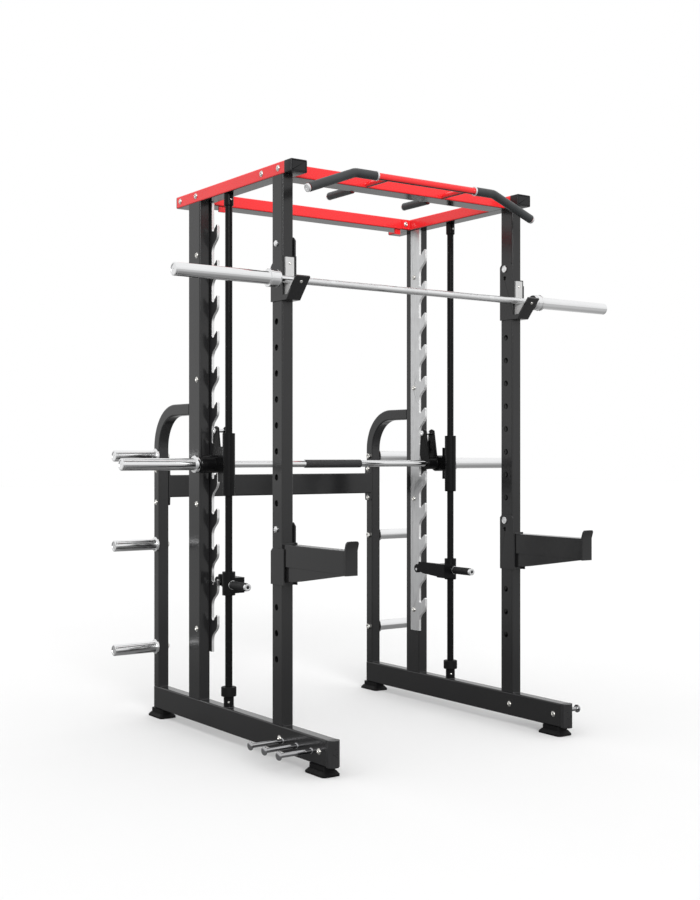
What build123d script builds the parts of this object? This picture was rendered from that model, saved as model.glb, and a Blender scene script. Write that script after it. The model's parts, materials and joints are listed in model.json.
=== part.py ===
"""Smith machine: a free-standing rack with a guided, hooked bar and a free barbell.

Millimetres, +Z up. X runs along the bars, -Y is the open front, and the origin is on the
floor in the middle of the whole machine. Every piece is drawn on the right (+X) side and
mirrored for the left one.
"""
from math import cos, radians, sin
import os

from build123d import *

os.makedirs("parts", exist_ok=True)

# Overall layout
front = -340.5              # front faces of the front uprights
column_x = 592.5            # middle of every upright, rail and guide rod
tube = 50.0                 # the frame tubes' width along X
wall = 3.0
height = 2300.0
rail_bottom = 37.0
rail_height = 100.0
rail_top = rail_bottom + rail_height
inner_x = column_x - tube / 2
outer_x = column_x + tube / 2

front_depth = 75.0
rear_y = front + 653.0      # front faces of the rear uprights
rear_depth = 100.0
post_y = front + 1031.0     # front faces of the storage posts
post_depth = 50.0
back = post_y + post_depth
rail_front = front - 294.0
rail_cap = 34.0

# Top frame
beam_height = 50.0
beam_bottom = height - beam_height
side_beam = 75.0
side_beam_front = front - 13.0
side_beam_back = front + 859.0
cross_beam = 100.0
front_beam_y = front + 26.0
rear_beam_y = front + 697.0

# Adjustment holes in the front uprights
hole_r = 12.5
hole_y = front + 42.0
hole_pitch = 100.0
hole_z = [388.0 + hole_pitch * i for i in range(17)]

# Guide rods
rod_r = 15.0
rod_y = front + 451.0
bumper_r = 31.5

# Catch plates
tooth_pitch = 150.0
tooth_count = 12
top_tip = 2148.0
plate_thick = 12.0
plate_x = inner_x - plate_thick
plate_front = front + 638.0
plate_back = front + 703.0
plate_bottom = 338.0
gullet_r = 10.0

# Smith bar and its hooks
bar_r = 15.0
bar_y = front + 555.0
lift = 28.0                 # how far the bar stands above its seat in the teeth
bar_z = 1108.0 + lift
bar_half = 1028.0
sleeve_r = 25.0
hook_pin_r = 8.0
hook_reach = 73.0           # bar to pin, backwards, with the pin in a tooth
hook_rise = 123.0           # bar to pin, upwards, with the pin in a tooth
hook_open = 20.6            # how far the hooks stand forward of that, in degrees
hook_x = (530.0, 577.0)
hook_thick = 8.0
running = 0.05              # radial clearance of every running fit

# Carriage
carriage_r = 26.0
carriage_bore = 20.0
carriage_length = 258.0
carriage_bottom = bar_z - 130.0
hub_r = 37.0
hub_bore = 26.0
hub_x = 588.0
hub_length = 70.0

# Swing-out stops
stop_tooth = 10
stop_pin_r = 6.0
stop_pin_y = plate_front - gullet_r
stop_pin_z = top_tip - tooth_pitch * stop_tooth - 14.0
stop_bottom = 597.0
stop_height = 97.0
stop_x = 533.0
stop_thick = 16.0

# Brackets on the front uprights
bracket_gap = 1.0
bracket_thick = 6.0
bracket_in = inner_x - bracket_gap - bracket_thick
bracket_out = outer_x + bracket_gap
bracket_pin_r = 12.0
cup_pin_z = hole_z[16]
arm_pin_z = hole_z[5]

# Barbell
barbell_y = front - 31.0
barbell_z = 1842.0
barbell_r = 14.0
barbell_half = 1100.0
collar_inner = 655.0

# Pegs
peg_y = post_y + post_depth / 2
peg_z = (315.0, 774.0, 1170.0)
band_peg_y = (front, front - 100.0, front - 200.0)
band_peg_z = 81.0

# Pull-up bar
pull_y = front - 111.0
pull_z = 2267.0
pull_r = 14.0
grip_r = 18.0
grip_start = 248.0
grip_bend = 356.0
grip_end = (571.0, 2184.0)
side_grip_x = 198.0
side_grip_z = 2262.0
side_grip_end = front + 290.0

# Bolts: shank radius, hole radius and the rows of holes
bolt_r = 6.0
bolt_hole_r = 6.2
bolt_head_r = 10.0
catch_bolt_y = front + 678.0
catch_bolt_z = (436.0, 966.0, 1495.0, 2023.0)
cross_bottom = 984.0
cross_height = 100.0
cross_flange = 7.5
cross_bolt_z = (962.0, 1106.0)
rail_bolt_y = (front + 20.0, front - 251.0)
rail_bolt_z = 88.0
beam_bolt_y = (front + 30.0, front + 152.0, front + 687.0, front + 826.0)
beam_bolt_z = height - 24.0


def save(piece, name):
    """Label a finished piece and write it."""
    piece.part.label = name
    export_step(piece.part, f"parts/{name}.step")


def save_sides(piece, name):
    """Write a right-hand piece and its mirror image as two nodes."""
    save(piece, f"right_{name}")
    with BuildPart() as left:
        mirror(piece.part, about=Plane.YZ)
    save(left, f"left_{name}")


def save_both(piece, name):
    """Write the right-hand pieces and their mirror images as one node."""
    with BuildPart() as both:
        add(piece.part)
        mirror(about=Plane.YZ)
    save(both, name)


def box_section(plane, width, depth, length, corner=6.0):
    """Add a hollow rectangular tube, extruded from the plane."""
    with BuildSketch(plane) as section:
        RectangleRounded(width, depth, corner)
        RectangleRounded(width - 2 * wall, depth - 2 * wall, corner - wall, mode=Mode.SUBTRACT)
    extrude(section.sketch, amount=length)


def cross_holes(radius, x, length, places):
    """Cut round holes along X, from x, at each (y, z)."""
    with BuildSketch(Plane.YZ.offset(x)) as holes:
        with Locations(*places):
            Circle(radius)
    extrude(holes.sketch, amount=length, mode=Mode.SUBTRACT)


def disc(x, length, radius, y, z, bore=0.0):
    """Add a round bar or ring along X, from x."""
    with BuildSketch(Plane.YZ.offset(x)) as round_section:
        with Locations((y, z)):
            Circle(radius)
            if bore:
                Circle(bore, mode=Mode.SUBTRACT)
    extrude(round_section.sketch, amount=length)


# --- Base rails, their caps and feet ---------------------------------------------------

rail_centre = rail_bottom + rail_height / 2
with BuildPart() as base_rail:
    rail_plane = Plane((column_x, rail_front, rail_centre), x_dir=(1, 0, 0), z_dir=(0, 1, 0))
    box_section(rail_plane, tube, rail_height, back - 3.0 - rail_front)
    cross_holes(bolt_hole_r, inner_x - 5, tube + 10, [(y, rail_bolt_z) for y in rail_bolt_y])
    cross_holes(9.0, outer_x - wall - 1, wall + 5, [(y, band_peg_z) for y in band_peg_y])
save_sides(base_rail, "base_rail")

with BuildPart() as rail_end_caps:
    with BuildSketch(Plane.XY.offset(rail_bottom)):
        with BuildLine():
            nose = rail_front - rail_cap
            Polyline(
                (inner_x, rail_front), (inner_x, nose + 16), (inner_x + 16, nose),
                (outer_x - 16, nose), (outer_x, nose + 16), (outer_x, rail_front), close=True)
        make_face()
    extrude(amount=rail_height)
    with BuildSketch(Plane.XY.offset(rail_bottom + 6)):
        with Locations((column_x, back - 1.5)):
            Rectangle(tube - 2, 3)
    extrude(amount=rail_height - 12)
save_both(rail_end_caps, "rail_end_caps")

with BuildPart() as rubber_feet:
    foot_places = [(column_x, front - 235.0), (column_x, front + 1048.0)]
    with BuildSketch():
        with Locations(*foot_places):
            RectangleRounded(80, 132, 16)
    extrude(amount=7)
    for place in foot_places:
        with BuildSketch(Plane.XY.offset(7)):
            with Locations(place):
                RectangleRounded(80, 132, 16)
        with BuildSketch(Plane.XY.offset(19)):
            with Locations(place):
                RectangleRounded(64, 104, 10)
        loft()
    with BuildSketch(Plane.XY.offset(19)):
        with Locations(*foot_places):
            RectangleRounded(58, 96, 8)
    extrude(amount=rail_bottom - 19)
save_both(rubber_feet, "rubber_feet")

# --- Uprights and storage posts ----------------------------------------------------------

with BuildPart() as front_upright:
    foot_plane = Plane.XY.offset(rail_top)
    foot_plane.origin = (column_x, front + front_depth / 2, rail_top)
    box_section(foot_plane, tube, front_depth, beam_bottom - rail_top)
    cross_holes(hole_r, inner_x - 5, tube + 10, [(hole_y, z) for z in hole_z])
save_sides(front_upright, "front_upright")

with BuildPart() as rear_upright:
    foot_plane = Plane.XY.offset(rail_top)
    foot_plane.origin = (column_x, rear_y + rear_depth / 2, rail_top)
    box_section(foot_plane, tube, rear_depth, beam_bottom - rail_top)
    cross_holes(bolt_hole_r, inner_x - 5, tube + 10, [(catch_bolt_y, z) for z in catch_bolt_z])
save_sides(rear_upright, "rear_upright")

post_bend = 165.0
post_top = 1371.0
with BuildPart() as storage_post:
    with BuildLine() as post_path:
        post_side = Line((column_x, peg_y, rail_top), (column_x, peg_y, post_top - post_bend))
        corner = (column_x, peg_y - post_bend * (1 - cos(radians(45))),
                  post_top - post_bend * (1 - sin(radians(45))))
        post_curve = ThreePointArc(post_side @ 1, corner, (column_x, peg_y - post_bend, post_top))
        Line(post_curve @ 1, (column_x, rear_y + rear_depth, post_top))
    with BuildSketch(Plane((column_x, peg_y, rail_top))):
        RectangleRounded(tube, post_depth, 6)
        RectangleRounded(tube - 2 * wall, post_depth - 2 * wall, 3, mode=Mode.SUBTRACT)
    sweep()
    cross_holes(bolt_hole_r, inner_x - 5, tube + 10, [(peg_y, z) for z in cross_bolt_z])
    cross_holes(8.2, inner_x - 5, tube + 10, [(peg_y, z) for z in peg_z])
save_sides(storage_post, "storage_post")

with BuildPart() as rear_crossmember:
    half = inner_x - cross_flange
    beam_plane = Plane((-half, peg_y, cross_bottom + cross_height / 2), x_dir=(0, 1, 0), z_dir=(1, 0, 0))
    box_section(beam_plane, post_depth, cross_height, 2 * half)
    for start in (-inner_x, half):
        with BuildSketch(Plane.YZ.offset(start)):
            with Locations((peg_y, (cross_bolt_z[0] + cross_bolt_z[1]) / 2)):
                RectangleRounded(post_depth, 172, 8)
            with Locations(*[(peg_y, z) for z in cross_bolt_z]):
                Circle(bolt_hole_r, mode=Mode.SUBTRACT)
        extrude(amount=cross_flange)
save(rear_crossmember, "rear_crossmember")

# --- Top frame -----------------------------------------------------------------------------

beam_x = outer_x - side_beam / 2
beam_in = outer_x - side_beam
beam_mid = beam_bottom + beam_height / 2
with BuildPart() as top_beam:
    beam_plane = Plane((beam_x, side_beam_front, beam_mid), x_dir=(1, 0, 0), z_dir=(0, 1, 0))
    box_section(beam_plane, side_beam, beam_height, side_beam_back - side_beam_front)
    cross_holes(bolt_hole_r, outer_x - 8, 12, [(y, beam_bolt_z) for y in beam_bolt_y])
save_sides(top_beam, "top_beam")

with BuildPart() as front_top_beam:
    centre_y = front_beam_y + cross_beam / 2
    beam_plane = Plane((-beam_in, centre_y, beam_mid), x_dir=(0, 1, 0), z_dir=(1, 0, 0))
    box_section(beam_plane, cross_beam, beam_height, 2 * beam_in)
save(front_top_beam, "front_top_beam")

pad_x = 518.0
with BuildPart() as rear_top_beam:
    centre_y = rear_beam_y + cross_beam / 2
    beam_plane = Plane((-beam_in, centre_y, beam_mid), x_dir=(0, 1, 0), z_dir=(1, 0, 0))
    box_section(beam_plane, cross_beam, beam_height, 2 * beam_in)
    # Bolted pads at the corners and a small tab under each end
    with BuildSketch(Plane((0, rear_beam_y, beam_mid), x_dir=(1, 0, 0), z_dir=(0, -1, 0))):
        with Locations((-pad_x, 0), (pad_x, 0)):
            RectangleRounded(42, 44, 4)
    extrude(amount=5)
    with BuildSketch(Plane.XY.offset(beam_bottom)):
        with Locations((-479, rear_beam_y + 12), (479, rear_beam_y + 12)):
            Rectangle(30, 8)
    extrude(amount=-24)
save(rear_top_beam, "rear_top_beam")

with BuildPart() as beam_end_caps:
    cap_plane = Plane((beam_x, side_beam_front, beam_mid), x_dir=(1, 0, 0), z_dir=(0, -1, 0))
    with BuildSketch(cap_plane):
        RectangleRounded(side_beam, beam_height, 6)
    extrude(amount=47)
    cap_plane = Plane((beam_x, side_beam_back, beam_mid), x_dir=(1, 0, 0), z_dir=(0, 1, 0))
    with BuildSketch(cap_plane):
        RectangleRounded(side_beam, beam_height, 6)
    extrude(amount=6)
    nose_edges = beam_end_caps.edges().group_by(Axis.Y)[0]
    chamfer(nose_edges, 3)
save_both(beam_end_caps, "beam_end_caps")

# --- Pull-up bar, grips and trim -------------------------------------------------------------

end_x, end_z = grip_end
with BuildPart() as pull_up_bar:
    with BuildLine() as bar_line:
        FilletPolyline(
            (-end_x, pull_y, end_z), (-grip_bend, pull_y, pull_z), (grip_bend, pull_y, pull_z),
            (end_x, pull_y, end_z), radius=60)
    start = Plane(bar_line.wire() @ 0, z_dir=bar_line.wire() % 0)
    with BuildSketch(start):
        Circle(pull_r)
    sweep(path=bar_line.wire())
    # Two bars join it to the front beam
    with BuildSketch(Plane.XZ.offset(-pull_y)):
        with Locations((-side_grip_x, side_grip_z), (side_grip_x, side_grip_z)):
            Circle(11)
    extrude(amount=-(front_beam_y - pull_y))
    # The side grips' cores stand on the beam's back face
    with BuildSketch(Plane.XZ.offset(-(front_beam_y + cross_beam))):
        with Locations((-side_grip_x, side_grip_z - 2), (side_grip_x, side_grip_z - 2)):
            Circle(10)
    extrude(amount=-(side_grip_end - front_beam_y - cross_beam))
save(pull_up_bar, "pull_up_bar")

with BuildPart() as pull_up_grip:
    along = 0.99
    grip_stop = (grip_bend + (end_x - grip_bend) * along, pull_y, pull_z + (end_z - pull_z) * along)
    with BuildLine() as grip_line:
        FilletPolyline(
            (grip_start + 8, pull_y, pull_z), (grip_bend, pull_y, pull_z), grip_stop, radius=60)
    with BuildSketch(Plane.YZ.offset(grip_start + 8)):
        with Locations((pull_y, pull_z)):
            Circle(grip_r)
            Circle(pull_r + 0.1, mode=Mode.SUBTRACT)
    sweep(path=grip_line.wire())
save_sides(pull_up_grip, "pull_up_grip")

with BuildPart() as neutral_grips:
    with BuildSketch(Plane.XZ.offset(-(front_beam_y + cross_beam + 4))):
        with Locations((side_grip_x, side_grip_z - 2)):
            Circle(16)
            Circle(10.1, mode=Mode.SUBTRACT)
    extrude(amount=-(side_grip_end - front_beam_y - cross_beam - 6))
save_both(neutral_grips, "neutral_grips")

with BuildPart() as pull_up_chrome_trim:
    disc(grip_start, 8, grip_r + 1.5, pull_y, pull_z, bore=pull_r + 0.1)
    tilt = Vector(end_x - grip_bend, 0, end_z - pull_z).normalized()
    with BuildSketch(Plane(Vector(end_x, pull_y, end_z) + tilt * 0.3, z_dir=tilt)):
        Circle(grip_r - 1)
    extrude(amount=9)
    with BuildSketch(Plane.XZ.offset(-side_grip_end - 0.1)):
        with Locations((side_grip_x, side_grip_z - 2)):
            Circle(15)
    extrude(amount=-7)
save_both(pull_up_chrome_trim, "pull_up_chrome_trim")

# --- Catch plates -------------------------------------------------------------------------------

with BuildSketch() as tooth:
    # Origin: level with the tip, on the plate's front edge
    with BuildLine():
        Polyline((0, -15), (5, -15), (5, -112), (0, -112))
        Spline((0, -112), (-46, -36), tangents=[(0, 1), (0, 1)])
        Line((-46, -36), (-46, -6))
        ThreePointArc((-46, -6), (-41, 0), (-35, -4))
        Line((-35, -4), (-2 * gullet_r, -15))
        ThreePointArc((-2 * gullet_r, -15), (-gullet_r, -15 - gullet_r), (0, -15))
    make_face()

with BuildPart() as catch_plate:
    plate_height = beam_bottom - 1 - plate_bottom
    with BuildSketch(Plane.YZ.offset(plate_x)):
        with Locations(((plate_front + plate_back) / 2, plate_bottom + plate_height / 2)):
            Rectangle(plate_back - plate_front, plate_height)
        with Locations(*[(plate_front, top_tip - tooth_pitch * i) for i in range(tooth_count)]):
            add(tooth.sketch)
        with Locations(*[(catch_bolt_y, z) for z in catch_bolt_z]):
            Circle(bolt_hole_r, mode=Mode.SUBTRACT)
    extrude(amount=plate_thick)
save_sides(catch_plate, "catch_plate")

# --- Guide rods and what holds them ---------------------------------------------------------------

with BuildPart() as guide_rod:
    with BuildSketch(Plane.XY.offset(rail_top)):
        with Locations((column_x, rod_y)):
            Circle(rod_r)
    extrude(amount=beam_bottom - rail_top)
save_sides(guide_rod, "guide_rod")

socket_height = 45.0
bumper_height = 38.0
for name, base, tall, radius in (
    ("rod_sockets", rail_top, socket_height, 21.0),
    ("rod_bumpers", rail_top + socket_height, bumper_height, bumper_r),
    ("rod_top_collars", beam_bottom - 50.0, 50.0, 20.0),
):
    with BuildPart() as ring:
        with BuildSketch(Plane.XY.offset(base)):
            with Locations((column_x, rod_y)):
                Circle(radius)
                Circle(rod_r + 0.1, mode=Mode.SUBTRACT)
        extrude(amount=tall)
        rims = ring.edges().filter_by(GeomType.CIRCLE).group_by(SortBy.RADIUS)[-1]
        chamfer(rims, 2)
    save_both(ring, name)

# --- Pegs -------------------------------------------------------------------------------------------

with BuildPart() as storage_pegs:
    for z in peg_z:
        disc(outer_x, 9, 33, peg_y, z)
        disc(outer_x + 9, 199, sleeve_r, peg_y, z)
        disc(inner_x - 4, tube + 5, 8, peg_y, z)
    chamfer(storage_pegs.faces().sort_by(Axis.X)[-3:].edges(), 3)
save_both(storage_pegs, "storage_pegs")

with BuildPart() as band_pegs:
    for y in band_peg_y:
        disc(outer_x - 8, 147, 9 - 0.1, y, band_peg_z)
        disc(outer_x + 138, 11, 17, y, band_peg_z)
    fillet(band_pegs.faces().sort_by(Axis.X)[-3:].edges(), 5)
save_both(band_pegs, "band_pegs")

# --- Bolts ---------------------------------------------------------------------------------------------


def through_bolt(x0, x1, y, z, head=6.0):
    """Add a bolt along X with a domed head on each of the faces x0 and x1."""
    disc(x0 - head, head, bolt_head_r, y, z)
    disc(x0, x1 - x0, bolt_r, y, z)
    disc(x1, head, bolt_head_r, y, z)


with BuildPart() as frame_bolts:
    for z in catch_bolt_z:
        through_bolt(plate_x, outer_x, catch_bolt_y, z)
    for z in cross_bolt_z:
        through_bolt(inner_x - cross_flange, outer_x, peg_y, z)
    for y in rail_bolt_y:
        through_bolt(inner_x, outer_x, y, rail_bolt_z)
    for y in beam_bolt_y:
        disc(outer_x - 7, 7, bolt_r, y, beam_bolt_z)
        disc(outer_x, 6, bolt_head_r, y, beam_bolt_z)
    for z in peg_z:
        disc(inner_x - 10, 10, 12, peg_y, z, bore=8.1)
    with BuildSketch(Plane.XZ.offset(-(rear_beam_y - 5))):
        with Locations((pad_x, beam_mid)):
            Circle(bolt_head_r)
    extrude(amount=6)
save_both(frame_bolts, "frame_bolts")

# --- J-cups ------------------------------------------------------------------------------------------------

cup_bottom = 1765.0
cup_top = 2012.0
web_top = 1937.0
lip_foot = (front - 38.0, cup_bottom)
lip_tip = (front - 109.0, 1847.0)
lip_in = Vector(lip_tip[1] - lip_foot[1], lip_foot[0] - lip_tip[0]).normalized() * 8
lip_lean = (lip_tip[0] - lip_foot[0]) / (lip_tip[1] - lip_foot[1])
floor_z = barbell_z - barbell_r - 0.3
toe_z = cup_bottom + 20.0
pin_half_hole = bracket_pin_r + 0.1


def lip_inside(z):
    """Y of the lip's inner face at a height."""
    return lip_foot[0] + lip_in.X + lip_lean * (z - lip_foot[1] - lip_in.Y)


with BuildPart() as j_cup:
    with BuildSketch(Plane.YZ.offset(bracket_in)):
        with BuildLine():
            Polyline(
                (front - 12, cup_bottom), (front + 74, cup_bottom), (front + 74, cup_top - 14),
                (front + 60, cup_top), (front + 6, cup_top), (front - 8, cup_top - 14),
                (front - 8, web_top), (front - 12, web_top), close=True)
        make_face()
        with Locations((hole_y, cup_pin_z)):
            Circle(pin_half_hole, mode=Mode.SUBTRACT)
        with Locations((hole_y, cup_pin_z - 40)):
            Circle(9, mode=Mode.SUBTRACT)
    extrude(amount=bracket_thick)
    with BuildSketch(Plane.YZ.offset(bracket_out)):
        with BuildLine():
            Polyline(
                (front - 12, cup_bottom), (front + 74, cup_bottom), (front + 74, 1901),
                (front + 62, 1913), (front - 12, 1913), close=True)
        make_face()
    extrude(amount=bracket_thick)
    # Web across the front of the upright, floor and slanted lip
    with BuildSketch(Plane.YZ.offset(bracket_in)):
        with BuildLine():
            Polyline(
                (front - 1, cup_bottom), (front - 1, web_top), (front - 7, web_top),
                (front - 7, toe_z), (lip_inside(toe_z), toe_z),
                (lip_tip[0] + lip_in.X, lip_tip[1] + lip_in.Y), lip_tip, lip_foot, close=True)
        make_face()
    extrude(amount=bracket_out + bracket_thick - bracket_in)
save_sides(j_cup, "j_cup")

with BuildPart() as j_cup_liners:
    with BuildSketch(Plane.YZ.offset(inner_x + 6)):
        with BuildLine():
            Polyline(
                (front - 7, toe_z), (front - 7, web_top - 6), (front - 15.7, web_top - 6),
                (front - 15.7, floor_z), (lip_inside(floor_z) + 0.3, floor_z),
                (lip_inside(toe_z) + 0.3, toe_z), close=True)
        make_face()
    extrude(amount=tube - 12)
save_both(j_cup_liners, "j_cup_liners")

with BuildPart() as j_cup_pins:
    disc(bracket_in - 5, 5, 15, hole_y, cup_pin_z)
    disc(bracket_in, outer_x + 8 - bracket_in, bracket_pin_r, hole_y, cup_pin_z)
    chamfer(j_cup_pins.faces().sort_by(Axis.X)[-1].edges(), 2)
save_both(j_cup_pins, "j_cup_pins")

# --- Spotter arms -----------------------------------------------------------------------------------------------

arm_top = 832.0
arm_bottom = 676.0
arm_tip = front - 413.0

with BuildPart() as spotter_arm:
    with BuildSketch(Plane.YZ.offset(bracket_in)):
        with BuildLine():
            Polyline(
                (front - 20, arm_bottom), (front + 74, arm_bottom), (front + 74, arm_pin_z + 12),
                (front + 59, arm_pin_z + 27), (front + 6, arm_pin_z + 27),
                (front - 9, arm_pin_z + 12), (front - 9, arm_top + 6), (front - 20, arm_top + 6),
                close=True)
        make_face()
        with Locations((hole_y, arm_pin_z)):
            Circle(pin_half_hole, mode=Mode.SUBTRACT)
        with Locations((hole_y, arm_pin_z - 38)):
            Circle(9, mode=Mode.SUBTRACT)
    extrude(amount=bracket_thick)
    with BuildSketch(Plane.YZ.offset(bracket_out)):
        with BuildLine():
            Polyline(
                (front - 20, arm_bottom), (front + 74, arm_bottom), (front + 74, 803),
                (front + 62, 815), (front - 20, 815), close=True)
        make_face()
    extrude(amount=bracket_thick)
    with BuildSketch(Plane.YZ.offset(bracket_in)):
        with Locations((front - 4, (arm_bottom + arm_top + 6) / 2)):
            Rectangle(6, arm_top + 6 - arm_bottom)
    extrude(amount=bracket_out + bracket_thick - bracket_in)
    # Tapering arm, set in at its lower back corner
    with BuildSketch(Plane.YZ.offset(inner_x)):
        with BuildLine():
            Polyline(
                (front - 7, 747), (front - 7, arm_top), (arm_tip, arm_top), (arm_tip, 745),
                (front - 61, 692), (front - 61, 747), close=True)
        make_face()
    extrude(amount=tube)
    with BuildSketch(Plane.YZ.offset(inner_x + 5)):
        with BuildLine():
            Polyline(
                (front - 7, 748), (front - 62, 748), (front - 62, 694), (front - 7, 686), close=True)
        make_face()
    extrude(amount=tube - 10)
    # Folded from sheet, so open along its underside
    with BuildSketch(Plane.YZ.offset(inner_x + 5)):
        with BuildLine():
            Polyline(
                (front - 66, arm_top - 5), (arm_tip + 6, arm_top - 5), (arm_tip + 6, 680),
                (front - 66, 680), close=True)
        make_face()
    extrude(amount=tube - 10, mode=Mode.SUBTRACT)
    # End plate with its lip leaning forward
    with BuildSketch(Plane.YZ.offset(inner_x - 2)):
        with BuildLine():
            Polyline(
                (arm_tip, 742), (arm_tip, 834), (arm_tip - 10, 866), (arm_tip - 20, 866),
                (arm_tip - 9, 832), (arm_tip - 9, 742), close=True)
        make_face()
    extrude(amount=tube + 4)
    lip_corners = spotter_arm.edges().filter_by(Axis.Y).filter_by_position(Axis.Z, 865, 867)
    fillet(lip_corners, 12)
save_sides(spotter_arm, "spotter_arm")

with BuildPart() as spotter_pin:
    disc(bracket_in - 5, 5, 15, hole_y, arm_pin_z)
    disc(bracket_in, outer_x + 8 - bracket_in, bracket_pin_r, hole_y, arm_pin_z)
    chamfer(spotter_pin.faces().sort_by(Axis.X)[-1].edges(), 2)
save_sides(spotter_pin, "spotter_pin")

# --- Barbell ------------------------------------------------------------------------------------------------------

with BuildPart() as barbell_shaft:
    disc(-barbell_half + 16, 2 * barbell_half - 32, barbell_r, barbell_y, barbell_z)
save(barbell_shaft, "barbell_shaft")

bush_r = 20.0
with BuildPart() as barbell_bushings:
    for start in (collar_inner + 4, barbell_half - 70):
        disc(start, 45, bush_r - running, barbell_y, barbell_z, bore=barbell_r + 0.02)
save_both(barbell_bushings, "barbell_bushings")

with BuildPart() as barbell_sleeve:
    disc(collar_inner, 35, 33, barbell_y, barbell_z)
    disc(collar_inner + 35, 12, 35, barbell_y, barbell_z)
    disc(collar_inner + 47, barbell_half - collar_inner - 47, sleeve_r, barbell_y, barbell_z)
    rims = barbell_sleeve.edges().filter_by(GeomType.CIRCLE)
    chamfer(rims.filter_by(lambda edge: edge.radius > 34), 0.9)
    chamfer(barbell_sleeve.faces().sort_by(Axis.X)[0].edges(), 1.5)
    chamfer(barbell_sleeve.faces().sort_by(Axis.X)[-1].edges(), 3)
    with BuildSketch(Plane.YZ.offset(collar_inner)):
        with Locations((barbell_y, barbell_z)):
            Circle(bush_r)
    extrude(amount=barbell_half - collar_inner - 12, mode=Mode.SUBTRACT)
save_sides(barbell_sleeve, "barbell_sleeve")

# --- Smith bar -----------------------------------------------------------------------------------------------------

sleeve_start = 666.0
with BuildPart() as smith_bar_shaft:
    disc(-bar_half + 14, 2 * bar_half - 28, bar_r, bar_y, bar_z)
save(smith_bar_shaft, "smith_bar_shaft")

with BuildPart() as smith_grip:
    disc(-150, 300, bar_r + 3, bar_y, bar_z, bore=bar_r + 0.1)
    chamfer(smith_grip.edges().filter_by(GeomType.CIRCLE).group_by(SortBy.RADIUS)[-1], 1.5)
save(smith_grip, "smith_grip")

with BuildPart() as smith_sleeve:
    disc(sleeve_start, 34, 36, bar_y, bar_z)
    disc(sleeve_start + 34, bar_half - sleeve_start - 34, sleeve_r, bar_y, bar_z)
    rims = smith_sleeve.edges().filter_by(GeomType.CIRCLE)
    chamfer(rims.filter_by(lambda edge: edge.radius > 32), 4)
    chamfer(smith_sleeve.faces().sort_by(Axis.X)[-1].edges(), 3)
    with BuildSketch(Plane.YZ.offset(sleeve_start)):
        with Locations((bar_y, bar_z)):
            Circle(bar_r + 0.1)
    extrude(amount=bar_half - sleeve_start - 12, mode=Mode.SUBTRACT)
save_sides(smith_sleeve, "smith_sleeve")

# The hook's outline with its pin in a tooth, bar at the origin, then turned clear of the teeth
with BuildSketch() as hook_outline:
    with BuildLine():
        Polyline((-28, 0), (56, 143), (75, 143), (89, 129), (84, 106), (58, 20), (10, -30), close=True)
    make_face()
    Circle(29)
    with Locations((hook_reach, hook_rise)):
        Circle(hook_pin_r + 0.1, mode=Mode.SUBTRACT)
    Circle(bar_r + 0.1, mode=Mode.SUBTRACT)
hook_turned = hook_outline.sketch.rotate(Axis.Z, hook_open)

with BuildPart() as hook:
    for start in hook_x:
        with BuildSketch(Plane.YZ.offset(start)):
            with Locations((bar_y, bar_z)):
                add(hook_turned)
        extrude(amount=hook_thick)
    disc(hook_x[0] + hook_thick, hook_x[1] - hook_x[0] - hook_thick, 28, bar_y, bar_z,
         bore=bar_r + 0.1)
save_sides(hook, "hook")

turn = radians(hook_open)
pin_y = bar_y + hook_reach * cos(turn) - hook_rise * sin(turn)
pin_z = bar_z + hook_reach * sin(turn) + hook_rise * cos(turn)
with BuildPart() as hook_pins:
    pin_ends = (hook_x[0], hook_x[1] + hook_thick)
    disc(pin_ends[0] - 5, 5, 12, pin_y, pin_z)
    disc(pin_ends[0], pin_ends[1] - pin_ends[0], hook_pin_r, pin_y, pin_z)
    disc(pin_ends[1], 5, 12, pin_y, pin_z)
save_both(hook_pins, "hook_pins")

# --- Carriages --------------------------------------------------------------------------------------------------------

with BuildPart() as carriage:
    with BuildSketch(Plane.XY.offset(carriage_bottom)):
        with Locations((column_x, rod_y)):
            Circle(carriage_r)
    extrude(amount=carriage_length)
    # Flange behind the tube, then the neck that carries the bar's hub
    with BuildSketch(Plane.YZ.offset(hub_x)):
        with Locations((rod_y + 27, bar_z)):
            Rectangle(54, 146)
        with Locations((rod_y + 75, bar_z)):
            Rectangle(58, 58)
    extrude(amount=26)
    disc(hub_x, hub_length, hub_r, bar_y, bar_z)
    with BuildSketch(Plane.YZ.offset(hub_x)):
        with Locations((bar_y, bar_z)):
            Circle(hub_bore)
    extrude(amount=hub_length, mode=Mode.SUBTRACT)
    with BuildSketch(Plane.XY.offset(carriage_bottom)):
        with Locations((column_x, rod_y)):
            Circle(carriage_bore)
    extrude(amount=carriage_length, mode=Mode.SUBTRACT)
save_sides(carriage, "carriage")

with BuildPart() as linear_bearings:
    for base in (carriage_bottom + 3, carriage_bottom + carriage_length - 63):
        with BuildSketch(Plane.XY.offset(base)):
            with Locations((column_x, rod_y)):
                Circle(carriage_bore - 0.02)
                Circle(rod_r + running, mode=Mode.SUBTRACT)
        extrude(amount=60)
save_both(linear_bearings, "linear_bearings")

with BuildPart() as hub_bearings:
    for start in (hub_x + 3, hub_x + hub_length - 23):
        disc(start, 20, hub_bore - 0.02, bar_y, bar_z, bore=bar_r + running)
save_both(hub_bearings, "hub_bearings")

# --- Swing-out stops ----------------------------------------------------------------------------------------------------

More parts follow.
